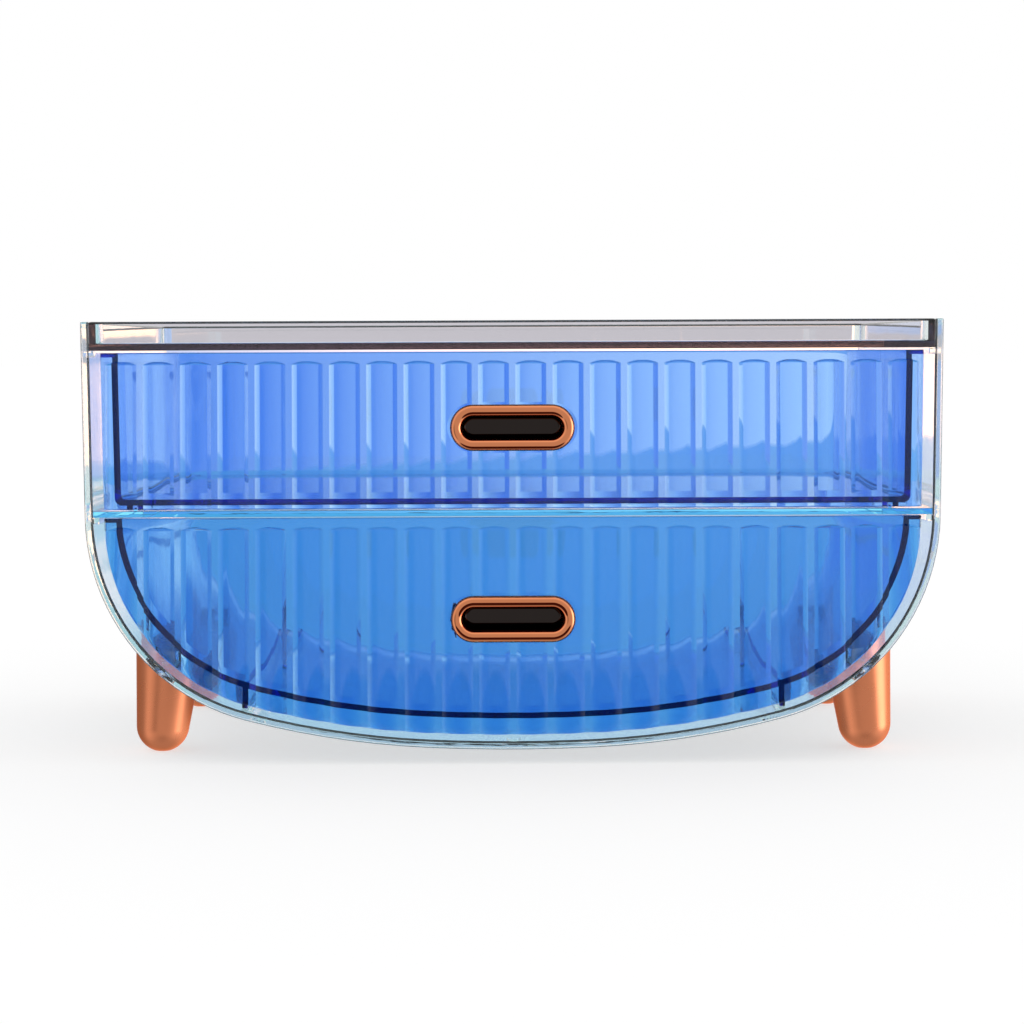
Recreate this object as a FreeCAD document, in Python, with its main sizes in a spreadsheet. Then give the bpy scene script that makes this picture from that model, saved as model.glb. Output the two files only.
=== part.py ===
import FreeCAD, Part
import math
import os

import Sketcher
from FreeCAD import Placement, Rotation, Vector

# Cosmetic organizer box: a clear housing with a bowl-shaped bottom on four
# metallic peg legs, a shallow open tray on top, and two blue drawers with
# fluted fronts and oval finger-cup handles. Millimetres, +Z up, the front
# faces -Y. The origin is on the ground under the middle of the whole box.
SIZES = {
    # Housing: width at the rim, front edge to rear face, lowest point to rim
    "housing_width": 270.2,
    "housing_depth": 167.5,
    "housing_height": 134.3,
    "ground_clearance": 4.5,
    "shell_wall": 2.6,
    "rear_wall": 2.6,
    "shell_edge_round": 0.8,
    "rim_round": 0.5,
    # Front outline of the housing: three tangent arcs and a leaning side
    "floor_radius": 560.0,
    "haunch_radius": 280.0,
    "corner_radius": 67.0,
    "floor_angle": 2.7,
    "side_lean": 1.15,
    # Top tray, set between the side walls
    "rim_height": 9.1,
    "rim_wall": 1.5,
    "rim_floor": 2.1,
    "rim_corner": 3.0,
    "rim_setback": 0.4,
    # Shelf between the drawers, and the ledges that carry shelf and tray
    "shelf_level": 73.0,
    "shelf_thickness": 2.0,
    "ledge_width": 2.0,
    "ledge_height": 2.0,
    "rail_width": 1.1,
    "rail_height": 1.0,
    # Drawer fronts
    "front_recess": 0.5,
    "front_thickness": 3.6,
    "front_side_gap": 3.3,
    "front_bottom_gap": 1.9,
    "front_top_gap": 0.7,
    "shelf_gap": 0.4,
    "plain_band": 2.8,
    "flute_pitch": 11.67,
    "flute_depth": 1.1,
    "flute_valley": 2.0,
    "flute_wall": 3.0,
    "flute_land": 2.0,
    # Drawer trays
    "tray_gap": 6.8,
    "tray_wall": 1.8,
    "tray_rear_gap": 1.0,
    "tray_rear_round": 6.0,
    "tray_edge_round": 2.2,
    "tray_inner_round": 1.5,
    "tray_corner": 18.0,
    "flange_thickness": 1.4,
    # Glide ribs under the trays
    "glide_width": 1.7,
    "glide_clearance": 0.3,
    "glide_height": 1.7,
    "upper_glide_inset": 6.0,
    "upper_glide_spacing": 3.7,
    "lower_glide_inset": 50.7,
    # Handles: bezel over a finger cup
    "handle_length": 39.0,
    "handle_height": 14.5,
    "handle_stand": 3.0,
    "handle_ring": 3.7,
    "collar_wall": 1.2,
    "slot_clearance": 0.15,
    "cup_wall": 1.2,
    "cup_depth": 8.5,
    "cup_clearance": 0.1,
    "cup_round": 1.6,
    "ring_round_share": 0.48,
    "upper_handle_share": 0.5153,
    "lower_handle_share": 0.5345,
    # Legs and their fixings
    "leg_inset": 21.2,
    "leg_setback": 32.0,
    "leg_foot_radius": 8.5,
    "leg_pad_radius": 2.6,
    "leg_taper": 5.5,
    "leg_length": 46.0,
    "boss_radius": 4.0,
    "boss_web": 1.6,
    "screw_radius": 1.25,
    "screw_length": 11.0,
    "bore_depth_share": 1.2,
    "screw_tip_share": 0.25,
    "screw_point_share": 2.0,
    "screw_head_radius": 2.25,
    "screw_head_height": 1.6,
    "screw_rim_share": 0.5,
    "screw_crown_share": 0.67,
    "screw_recess_width": 0.6,
    "screw_recess_depth": 0.8,
    "screw_clearance": 0.25,
    "washer_radius": 2.5,
    "washer_thickness": 0.5,
    # Small nub where the housing was filled, under the lower front
    "nub_radius": 2.2,
    "nub_height": 0.8,
    # How far a cut runs past the piece
    "overrun": 4.0,
}

doc = FreeCAD.newDocument("CosmeticOrganizer")
sheet = doc.addObject("Spreadsheet::Sheet", "Sizes")
for row, (alias, number) in enumerate(SIZES.items(), start=1):
    sheet.set("A%d" % row, alias)
    sheet.set("B%d" % row, str(number))
    sheet.setAlias("B%d" % row, alias)
doc.recompute()

# Heights above the ground and places behind the front edge, as expressions
BASE = "Sizes.ground_clearance"
RIM = "(Sizes.ground_clearance + Sizes.housing_height)"
RIM_FLOOR = "(%s - Sizes.rim_height)" % RIM
SHELF_BOTTOM = "(Sizes.ground_clearance + Sizes.shelf_level)"
SHELF_TOP = "(%s + Sizes.shelf_thickness)" % SHELF_BOTTOM
UPPER_TOP = "(%s - Sizes.front_top_gap)" % RIM_FLOOR
UPPER_BOTTOM = "(%s + Sizes.shelf_gap)" % SHELF_TOP
LOWER_TOP = "(%s - Sizes.shelf_gap)" % SHELF_BOTTOM
LOWER_BOTTOM = "(%s + Sizes.shell_wall + Sizes.front_bottom_gap)" % BASE
ABOVE = "(%s + Sizes.overrun)" % RIM
BELOW = "-Sizes.overrun"
SHELL_REAR = "(Sizes.housing_depth - Sizes.rear_wall)"
FRONT_FACE = "Sizes.front_recess"
FRONT_PLATE = "(Sizes.front_recess + Sizes.flute_depth)"
FRONT_BACK = "(Sizes.front_recess + Sizes.front_thickness)"
RAIL_START = "(%s + Sizes.glide_clearance)" % FRONT_BACK
TRAY_REAR = "(%s - Sizes.tray_rear_gap)" % SHELL_REAR
FRONT_EDGE = "-(Sizes.housing_depth - Sizes.handle_stand + Sizes.front_recess) / 2"
FRONT_INSET = "(Sizes.shell_wall + Sizes.front_side_gap)"
FRONT_DROP = "(Sizes.front_side_gap - Sizes.front_bottom_gap)"
TRAY_INSET = "(Sizes.shell_wall + Sizes.tray_gap)"
LEG_PLACE = "(Sizes.housing_width / 2 - Sizes.leg_inset)"
LOWER_GLIDE = "(Sizes.housing_width / 2 - Sizes.lower_glide_inset)"
FLUTE_ROOM = "(Sizes.housing_width / 2 - %s)" % FRONT_INSET
FLUTE_COUNT = "(2 * floor(%s / Sizes.flute_pitch))" % FLUTE_ROOM

# Places nearer to each other than this count as the same
SAME_PLACE = 1e-4


def value(expression):
    """The number that an expression on the sheet has now."""
    result = sheet.evalExpression(str(expression))
    return float(getattr(result, "Value", result))


def bind(item, **expressions):
    """Tie properties to expressions; a double underscore stands for a dot."""
    for name, expression in expressions.items():
        item.setExpression(name.replace("__", "."), str(expression))
    return item


def new_body(name):
    """An empty body, whose local Y is counted back from the front edge."""
    body = doc.addObject("PartDesign::Body", name)
    body.Label = name
    return body


def add_sketch(body, name, plane="XZ_Plane", depth="0"):
    """A sketch on one of the body's own planes, moved along its normal."""
    sketch = body.newObject("Sketcher::SketchObject", name)
    origin_plane = [f for f in body.Origin.OriginFeatures if f.Role == plane][0]
    sketch.AttachmentSupport = [(origin_plane, "")]
    sketch.MapMode = "FlatFace"
    sign = "-" if plane == "XZ_Plane" else ""
    bind(sketch, AttachmentOffset__Base__z="%s(%s)" % (sign, depth))
    return sketch


def dimension(sketch, kind, name, expression, *places):
    """A driving dimension in a sketch, tied to the sheet."""
    number = value(expression)
    if kind == "Angle":
        number = math.radians(number)
    index = sketch.addConstraint(Sketcher.Constraint(kind, *places, number))
    sketch.renameConstraint(index, name)
    sketch.setExpression("Constraints." + name, expression)


def closed_lines(sketch, corners):
    """A closed polygon; each corner is an (across, up) pair of expressions."""
    points = [Vector(value(across), value(up), 0) for across, up in corners]
    first = sketch.GeometryCount
    count = len(points)
    for i in range(count):
        sketch.addGeometry(Part.LineSegment(points[i], points[(i + 1) % count]))
    for i in range(count):
        joint = Sketcher.Constraint("Coincident", first + i, 2, first + (i + 1) % count, 1)
        sketch.addConstraint(joint)
    for i, (across, up) in enumerate(corners):
        corner = "corner%d_%d" % (first, i)
        dimension(sketch, "DistanceX", corner + "_across", across, -1, 1, first + i, 1)
        dimension(sketch, "DistanceY", corner + "_up", up, -1, 1, first + i, 1)


def rectangle(sketch, left, right, bottom, top):
    """A closed rectangle with its four sides tied to the sheet."""
    closed_lines(sketch, [(left, bottom), (right, bottom), (right, top), (left, top)])


def stadium(sketch, radius, half_run, level):
    """A slot shape with full-round ends, centred over the origin."""
    r, run, up = value(radius), value(half_run), value(level)
    normal = Vector(0, 0, 1)
    right = Part.Circle(Vector(run, up, 0), normal, r)
    left = Part.Circle(Vector(-run, up, 0), normal, r)
    first = sketch.GeometryCount
    sketch.addGeometry(Part.ArcOfCircle(right, -math.pi / 2, math.pi / 2))
    sketch.addGeometry(Part.LineSegment(Vector(run, up + r, 0), Vector(-run, up + r, 0)))
    sketch.addGeometry(Part.ArcOfCircle(left, math.pi / 2, 3 * math.pi / 2))
    sketch.addGeometry(Part.LineSegment(Vector(-run, up - r, 0), Vector(run, up - r, 0)))
    for i in range(4):
        joint = Sketcher.Constraint("Tangent", first + i, 2, first + (i + 1) % 4, 1)
        sketch.addConstraint(joint)
    sketch.addConstraint(Sketcher.Constraint("Horizontal", first + 1))
    name = "stadium%d" % first
    dimension(sketch, "Radius", name + "_radius", radius, first)
    dimension(sketch, "DistanceX", name + "_right", half_run, -1, 1, first, 3)
    dimension(sketch, "DistanceX", name + "_left", "-(%s)" % half_run, -1, 1, first + 2, 3)
    dimension(sketch, "DistanceY", name + "_level", level, -1, 1, first, 3)


class Outline:
    """The housing's front outline: arcs about three centres, then the side."""

    def __init__(self):
        self.floor = value("Sizes.floor_radius")
        self.haunch = value("Sizes.haunch_radius")
        self.corner = value("Sizes.corner_radius")
        lean = math.radians(value("Sizes.side_lean"))
        start = math.radians(value("Sizes.floor_angle"))
        end = math.pi / 2 - lean
        height = value("Sizes.housing_height")
        across = (self.floor - self.haunch) * math.sin(start) + self.corner * math.sin(end)
        rise = (self.floor - (self.floor - self.haunch) * math.cos(start)
                - self.corner * math.cos(end))
        rest = value("Sizes.housing_width") / 2 - across - math.tan(lean) * (height - rise)
        turn = math.asin(rest * math.cos(lean) / (self.haunch - self.corner)) - lean
        self.angles = (start, turn, end)
        self.lean = lean
        self.base = value(BASE)
        centre = Vector(0, self.base + self.floor, 0)
        self.centres = [centre]
        for radius, smaller, angle in ((self.floor, self.haunch, start),
                                       (self.haunch, self.corner, turn)):
            centre = centre + (radius - smaller) * Vector(math.sin(angle), -math.cos(angle), 0)
            self.centres.append(centre)

    def level(self, across, inset=0.0):
        """Height of the outline's underside, moved in by inset, at a place."""
        radii = (self.floor, self.haunch, self.corner)
        for radius, centre, angle in zip(radii, self.centres, self.angles):
            moved = radius - inset
            if across <= centre.x + moved * math.sin(angle):
                break
        return centre.y - math.sqrt(moved ** 2 - (across - centre.x) ** 2)

    def draw(self, sketch, inset, drop, top):
        """The closed outline, moved in and down, up to a level line."""
        move, lower = value(inset), value(drop)
        start, turn, end = self.angles
        radii = (self.floor - move, self.haunch - move, self.corner - move)
        centres = [c - Vector(0, lower, 0) for c in self.centres]
        normal = Vector(0, 0, 1)
        first = sketch.GeometryCount

        def arc(index, side, begin, finish):
            place = Vector(side * centres[index].x, centres[index].y, 0)
            circle = Part.Circle(place, normal, radii[index])
            down = 3 * math.pi / 2
            turns = sorted((down + side * begin, down + side * finish))
            return Part.ArcOfCircle(circle, *turns)

        def side_point(side):
            end_place = centres[2] + radii[2] * Vector(math.sin(end), -math.cos(end), 0)
            return Vector(side * end_place.x, end_place.y, 0)

        half = self.half_width(inset, drop, top)
        high = value(top)
        right_top = Vector(value(half), high, 0)
        left_top = Vector(-value(half), high, 0)
        bottom = Part.ArcOfCircle(Part.Circle(centres[0], normal, radii[0]),
                                  3 * math.pi / 2 - start, 3 * math.pi / 2 + start)
        shapes = [bottom, arc(1, 1, start, turn), arc(2, 1, turn, end),
                  Part.LineSegment(side_point(1), right_top),
                  Part.LineSegment(right_top, left_top),
                  Part.LineSegment(left_top, side_point(-1)),
                  arc(2, -1, turn, end), arc(1, -1, start, turn)]
        for shape in shapes:
            sketch.addGeometry(shape)
        for i, kind in enumerate(("Tangent", "Tangent", "Tangent", "Coincident",
                                  "Coincident", "Tangent", "Tangent", "Tangent")):
            joint = Sketcher.Constraint(kind, first + i, 2, first + (i + 1) % 8, 1)
            sketch.addConstraint(joint)
        for one, one_end, other, other_end in ((4, 1, 4, 2), (3, 1, 5, 2), (0, 1, 0, 2)):
            sketch.addConstraint(Sketcher.Constraint(
                "Symmetric", first + one, one_end, first + other, other_end, -2))
        sketch.addConstraint(Sketcher.Constraint("Equal", first + 1, first + 7))
        name = "outline%d" % first
        middle = "%s + Sizes.floor_radius - (%s)" % (BASE, drop)
        dimension(sketch, "DistanceY", name + "_middle", middle, -1, 1, first, 3)
        for i, radius in enumerate(("floor_radius", "haunch_radius", "corner_radius")):
            bound = "Sizes.%s - (%s)" % (radius, inset)
            dimension(sketch, "Radius", name + "_" + radius, bound, first + i)
        dimension(sketch, "Angle", name + "_sweep", "2 * Sizes.floor_angle", first)
        dimension(sketch, "Angle", name + "_lean", "90 - Sizes.side_lean", first + 3)
        dimension(sketch, "DistanceY", name + "_top", top, -1, 1, first + 4, 1)
        dimension(sketch, "DistanceX", name + "_half", half, -1, 1, first + 4, 1)

    def half_width(self, inset, drop, level):
        """Expression for half the width at a level: on the leaning side or the corner arc."""
        middle = self.centres[2]
        side_start = middle.y - value(drop) - (self.corner - value(inset)) * math.sin(self.lean)
        if value(level) < side_start:
            return ("(%.6f + sqrt((Sizes.corner_radius - (%s)) ^ 2 - (%s + (%s) - %.6f) ^ 2))"
                    % (middle.x, inset, level, drop, middle.y))
        return ("(Sizes.housing_width / 2 - (%s) / cos(Sizes.side_lean)"
                " - (%s - (%s) - (%s)) * tan(Sizes.side_lean))" % (inset, RIM, level, drop))


outline = Outline()
UPPER_GLIDE = "(%s - Sizes.upper_glide_inset)" % outline.half_width(TRAY_INSET, "0", SHELF_TOP)


def feature(body, kind, name, profile=None, **settings):
    """A body feature on a profile, with plain settings or expressions."""
    item = body.newObject("PartDesign::" + kind, name)
    if profile is not None:
        item.Profile = profile
    for prop, setting in settings.items():
        if isinstance(setting, str) and prop != "Type":
            item.setExpression(prop, setting)
        else:
            setattr(item, prop, setting)
    return item


def outline_pad(body, name, inset, drop, top, near, far):
    """Material inside the moved-in outline between two depths."""
    sketch = add_sketch(body, name + "_outline", depth=near)
    outline.draw(sketch, inset, drop, top)
    return feature(body, "Pad", name, sketch, Length="%s - (%s)" % (far, near), Reversed=True)


def block(body, name, x, y, z, cut=False):
    """A box between pairs of expressions, added to or taken from the body."""
    kind = "PartDesign::SubtractiveBox" if cut else "PartDesign::AdditiveBox"
    item = body.newObject(kind, name)
    for prop, axis, (low, high) in (("Length", "x", x), ("Width", "y", y), ("Height", "z", z)):
        item.setExpression(prop, "(%s) - (%s)" % (high, low))
        item.setExpression("Placement.Base." + axis, low)
    return item


def post(body, name, x, y, radius, z, cut=False):
    """An upright cylinder between two levels, added to or taken from the body."""
    kind = "PartDesign::SubtractiveCylinder" if cut else "PartDesign::AdditiveCylinder"
    item = body.newObject(kind, name)
    bind(item, Radius=radius, Height="(%s) - (%s)" % (z[1], z[0]),
         Placement__Base__x=x, Placement__Base__y=y, Placement__Base__z=z[0])
    return item


def span(low, high, side):
    """A pair of limits, mirrored to the left where side is -1."""
    return (low, high) if side > 0 else ("-(%s)" % high, "-(%s)" % low)


def edges_where(shape, wanted):
    """Names of the edges whose points all pass a test."""
    names = []
    for number, edge in enumerate(shape.Edges, start=1):
        points = edge.discretize(5)
        if all(wanted(point) for point in points):
            names.append("Edge%d" % number)
    return names


def near(number, other):
    """Whether two places are the same."""
    return abs(number - other) < SAME_PLACE


def round_edges(body, name, radius, wanted, unwanted=lambda point: False):
    """A fillet on the chosen edges of the body as it stands."""
    doc.recompute()
    base = body.Tip
    left_out = edges_where(base.Shape, unwanted)
    edges = [edge for edge in edges_where(base.Shape, wanted) if edge not in left_out]
    fillet = body.newObject("PartDesign::Fillet", name)
    fillet.Base = (base, edges)
    fillet.setExpression("Radius", radius)
    return fillet


def cut_layer(body, name, low, high):
    """Take away all of the body between two levels."""
    wide = "Sizes.housing_width / 2"
    depth = "(Sizes.housing_depth + Sizes.overrun)"
    return block(body, name, ("-" + wide, wide), ("-Sizes.overrun", depth), (low, high), cut=True)


def trim_outside(body, name, inset, drop):
    """Take away all of the body that lies outside the moved-in outline."""
    sketch = add_sketch(body, name + "_outline", depth="-Sizes.overrun")
    outline.draw(sketch, inset, drop, ABOVE)
    wide = "(Sizes.housing_width / 2 + Sizes.overrun)"
    rectangle(sketch, "-" + wide, wide, BELOW, "%s + Sizes.overrun" % ABOVE)
    return feature(body, "Pocket", name, sketch, Type="ThroughAll")


def leg_places():
    """Name, side and depth of the axis of each of the four legs."""
    rear = "(Sizes.housing_depth - Sizes.leg_setback)"
    return [("front_left", -1, "Sizes.leg_setback"), ("front_right", 1, "Sizes.leg_setback"),
            ("rear_left", -1, rear), ("rear_right", 1, rear)]


# The screw stands on the leg's axis where that meets the shell, on a seat
# that leaves a web of shell under the widest part of the counterbore.
leg_lean = math.radians(value("Sizes.leg_taper"))
leg_axis = value(LEG_PLACE)
screw_across = leg_axis - math.tan(leg_lean) * outline.level(leg_axis)
BORE_RADIUS = "(Sizes.washer_radius + Sizes.screw_clearance)"
seat_level = outline.level(screw_across + value(BORE_RADIUS)) + value("Sizes.boss_web")
head_level = seat_level + value("Sizes.washer_thickness")
boss_level = head_level + value("Sizes.screw_head_height + Sizes.screw_clearance")
boss_foot = outline.level(screw_across - value("Sizes.boss_radius"))
screw_foot = head_level - value("Sizes.screw_length")


def make_shell():
    """Clear wrap of the housing: sides and bowl bottom, open front, back and top."""
    body = new_body("housing_shell")
    outline_pad(body, "wrap", "0", "0", RIM, "0", SHELL_REAR)
    bay = add_sketch(body, "bay_outline")
    outline.draw(bay, "Sizes.shell_wall", "0", ABOVE)
    feature(body, "Pocket", "bay", bay, Type="ThroughAll")
    rim = value(RIM)
    round_edges(body, "front_round", "Sizes.shell_edge_round", lambda p: near(p.y, 0))
    round_edges(body, "rim_round", "Sizes.rim_round", lambda p: near(p.z, rim))
    front = "Sizes.rim_setback"
    for side in (-1, 1):
        for name, level in (("shelf", SHELF_BOTTOM), ("tray", RIM_FLOOR)):
            inner = outline.half_width("Sizes.shell_wall", "0", level)
            across = span("%s - Sizes.ledge_width" % inner,
                          "%s + Sizes.shell_wall / 2" % inner, side)
            block(body, "%s_ledge%d" % (name, side), across, (front, SHELL_REAR),
                  ("%s - Sizes.ledge_height" % level, level))
        rail_outer = "(%s - Sizes.glide_width / 2 - Sizes.glide_clearance)" % LOWER_GLIDE
        rail_level = outline.level(value(rail_outer), value("Sizes.shell_wall"))
        block(body, "floor_rail%d" % side,
              span("%s - Sizes.rail_width" % rail_outer, rail_outer, side),
              (RAIL_START, SHELL_REAR),
              ("%.6f - Sizes.shell_wall / 2" % rail_level, "%.6f + Sizes.rail_height" % rail_level))
    for name, side, depth in leg_places():
        post(body, "boss_" + name, "%.6f" % (side * screw_across), depth, "Sizes.boss_radius",
             ("%.6f" % boss_foot, "%.6f" % boss_level))
    nub_level = BASE + " + Sizes.shell_wall"
    post(body, "nub", "0", "(Sizes.front_recess + Sizes.nub_radius)", "Sizes.nub_radius",
         ("%s - Sizes.shell_wall / 2" % nub_level, "%s + Sizes.nub_height" % nub_level))
    trim_outside(body, "outside", "0", "0")
    for name, side, depth in leg_places():
        across = "%.6f" % (side * screw_across)
        post(body, "counterbore_" + name, across, depth, BORE_RADIUS,
             ("%.6f" % seat_level, "%.6f + Sizes.overrun" % boss_level), cut=True)
        post(body, "hole_" + name, across, depth, "(Sizes.screw_radius + Sizes.screw_clearance)",
             ("%.6f - Sizes.overrun" % boss_foot, "%.6f" % boss_level), cut=True)
    return body


def make_rear_panel():
    """Clear back wall, bonded over the whole rear end of the wrap."""
    body = new_body("rear_panel")
    outline_pad(body, "wall", "0", "0", RIM, SHELL_REAR, "Sizes.housing_depth")
    depth = value("Sizes.housing_depth")
    round_edges(body, "edge_round", "Sizes.shell_edge_round", lambda p: near(p.y, depth))
    return body


def make_shelf():
    """Clear shelf on its ledges, with a rail for each pair of glide ribs."""
    body = new_body("shelf")
    outline_pad(body, "plate", "Sizes.shell_wall", "0", ABOVE, "Sizes.rim_setback", SHELL_REAR)
    cut_layer(body, "above", SHELF_TOP, ABOVE)
    cut_layer(body, "below", BELOW, SHELF_BOTTOM)
    for side in (-1, 1):
        across = span("%s - Sizes.rail_width / 2" % UPPER_GLIDE,
                      "%s + Sizes.rail_width / 2" % UPPER_GLIDE, side)
        block(body, "rail%d" % side, across, (RAIL_START, SHELL_REAR),
              ("%s - Sizes.shelf_thickness / 2" % SHELF_TOP, "%s + Sizes.rail_height" % SHELF_TOP))
    return body


def make_top_tray():
    """Clear open tray between the side walls, its rim level with their tops."""
    body = new_body("top_tray")
    outline_pad(body, "slab", "Sizes.shell_wall", "0", RIM, "Sizes.rim_setback", SHELL_REAR)
    cut_layer(body, "below", BELOW, RIM_FLOOR)
    inner = outline.half_width("Sizes.shell_wall", "0", RIM_FLOOR) + " - Sizes.rim_wall"
    block(body, "hollow", ("-(%s)" % inner, inner),
          ("Sizes.rim_setback + Sizes.rim_wall", "%s - Sizes.rim_wall" % SHELL_REAR),
          ("%s + Sizes.rim_floor" % RIM_FLOOR, "%s + Sizes.overrun" % RIM), cut=True)
    side = value(inner)
    front = value("Sizes.rim_setback + Sizes.rim_wall")
    rear = value("%s - Sizes.rim_wall" % SHELL_REAR)
    round_edges(body, "corner_round", "Sizes.rim_corner",
                lambda p: near(abs(p.x), side) and (near(p.y, front) or near(p.y, rear)))
    return body


HALF_CHORD = "((Sizes.flute_pitch - Sizes.flute_valley) / 2)"
FLUTE_RADIUS = "((%s ^ 2 + Sizes.flute_depth ^ 2) / (2 * Sizes.flute_depth))" % HALF_CHORD
HOLLOW_DEPTH = "(Sizes.front_thickness - Sizes.flute_wall)"
HOLLOW_RADIUS = "(%s - Sizes.flute_wall)" % FLUTE_RADIUS
HOLLOW_CHORD = "sqrt((2 * %s - %s) * %s)" % (HOLLOW_RADIUS, HOLLOW_DEPTH, HOLLOW_DEPTH)
HOLLOW_END = "(%s - %s)" % (FRONT_BACK, HOLLOW_DEPTH)


def draw_flute(sketch, radius, half_chord, base):
    """Section of the leftmost flute: a shallow arc in front of a base line."""
    middle = "-(%s - 1) * Sizes.flute_pitch / 2" % FLUTE_COUNT
    level, across, half, arc_radius = map(value, (base, middle, half_chord, radius))
    half_turn = math.asin(half / arc_radius)
    centre = Vector(across, level + arc_radius * math.cos(half_turn), 0)
    down = 3 * math.pi / 2
    circle = Part.Circle(centre, Vector(0, 0, 1), arc_radius)
    sketch.addGeometry(Part.LineSegment(Vector(across - half, level, 0),
                                        Vector(across + half, level, 0)))
    sketch.addGeometry(Part.ArcOfCircle(circle, down - half_turn, down + half_turn))
    for place in (1, 2):
        sketch.addConstraint(Sketcher.Constraint("Coincident", 0, place, 1, place))
    sketch.addConstraint(Sketcher.Constraint("Horizontal", 0))
    dimension(sketch, "DistanceX", "left", "%s - (%s)" % (middle, half_chord), -1, 1, 0, 1)
    dimension(sketch, "DistanceX", "right", "%s + (%s)" % (middle, half_chord), -1, 1, 0, 2)
    dimension(sketch, "DistanceY", "base", base, -1, 1, 0, 1)
    dimension(sketch, "Radius", "crown", radius, 1)


def flute_row(body, name, radius, half_chord, base, top, cut=False):
    """A row of arcs with domed upper ends, added in front of a base or cut from it."""
    straight, turned = ("Pocket", "Groove") if cut else ("Pad", "Revolution")
    profile = add_sketch(body, name + "_section", "XY_Plane", top)
    draw_flute(profile, radius, half_chord, base)
    flute = feature(body, straight, name, profile, Length=top, Reversed=not cut)
    end = feature(body, turned, name + "_end", profile, ReferenceAxis=(profile, ["Edge1"]),
                  Angle=90.0)
    doc.recompute()
    if near(end.AddSubShape.BoundBox.ZMax, value(top)):
        end.Reversed = True
    row = body.newObject("PartDesign::LinearPattern", name + "s")
    row.Originals = [flute, end]
    row.Direction = (profile, ["H_Axis"])
    bind(row, Length="(%s - 1) * Sizes.flute_pitch" % FLUTE_COUNT, Occurrences=FLUTE_COUNT)
    body.Tip = row


HALF_RUN = "(Sizes.handle_length - Sizes.handle_height) / 2"
OPENING = "(Sizes.handle_height / 2 - Sizes.handle_ring)"
COLLAR = "(%s + Sizes.collar_wall)" % OPENING
COLLAR_END = "(%s + Sizes.collar_wall)" % FRONT_BACK


def stadium_sketch(body, name, radius, depth, level):
    """A sketch with one slot shape, at a depth and a level."""
    sketch = add_sketch(body, name, depth=depth)
    stadium(sketch, radius, HALF_RUN, level)
    return sketch


def side_profile(sketch, inset, low, high):
    """The section between two levels of the leaning sides, moved in."""
    wide = outline.half_width(inset, "0", high)
    narrow = outline.half_width(inset, "0", low)
    closed_lines(sketch, [("-(%s)" % narrow, low), (narrow, low), (wide, high),
                          ("-(%s)" % wide, high)])


def fill_rim(body, top, bottom):
    """A flat rim behind the plate's edge, where the tray is bonded on."""
    sketch = add_sketch(body, "rim_outline", depth=HOLLOW_END)
    outline.draw(sketch, FRONT_INSET, FRONT_DROP, ABOVE)
    inset = "(%s + Sizes.tray_wall + Sizes.flute_land)" % TRAY_INSET
    if bottom is None:
        outline.draw(sketch, inset, "0", RIM)
    else:
        low = "(%s + Sizes.glide_height + Sizes.tray_wall + Sizes.flute_land)" % SHELF_TOP
        side_profile(sketch, inset, low, top)
    feature(body, "Pad", "rim", sketch, Length=HOLLOW_DEPTH, Reversed=True)


def make_front(name, top, level, bottom=None):
    """Drawer front: convex flutes, each with a shallow hollow behind it, under a plain band."""
    body = new_body(name)
    outline_pad(body, "plate", FRONT_INSET, FRONT_DROP, ABOVE, FRONT_PLATE, FRONT_BACK)
    flute_top = "(%s - Sizes.plain_band - Sizes.flute_depth)" % top
    flute_row(body, "flute", FLUTE_RADIUS, HALF_CHORD, FRONT_PLATE, flute_top)
    flute_row(body, "hollow", HOLLOW_RADIUS, HOLLOW_CHORD, FRONT_BACK, flute_top, cut=True)
    fill_rim(body, top, bottom)
    seat = stadium_sketch(body, "handle_seat", "Sizes.handle_height / 2 - Sizes.slot_clearance",
                          FRONT_PLATE, level)
    feature(body, "Pad", "seat", seat, Length="Sizes.flute_depth")
    cup_seat = stadium_sketch(body, "cup_seat", "%s + Sizes.cup_wall + Sizes.flute_land" % COLLAR,
                              HOLLOW_END, level)
    feature(body, "Pad", "cup_land", cup_seat, Length=HOLLOW_DEPTH, Reversed=True)
    slot = stadium_sketch(body, "handle_slot", "%s + Sizes.slot_clearance" % COLLAR, "0", level)
    feature(body, "Pocket", "slot", slot, Type="ThroughAll")
    trim_outside(body, "outside", FRONT_INSET, FRONT_DROP)
    cut_layer(body, "above", top, ABOVE)
    if bottom is not None:
        cut_layer(body, "below", BELOW, bottom)
    return body


def add_flanges(body, top, end):
    """A flange along the top of each side of a tray, as wide as the front."""
    inner = outline.half_width("%s + Sizes.tray_wall / 2" % TRAY_INSET, "0", top)
    outer = outline.half_width(FRONT_INSET, FRONT_DROP, top)
    for side in (-1, 1):
        block(body, "flange%d" % side, span(inner, outer, side), (FRONT_BACK, end),
              ("%s - Sizes.flange_thickness" % top, top))


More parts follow.
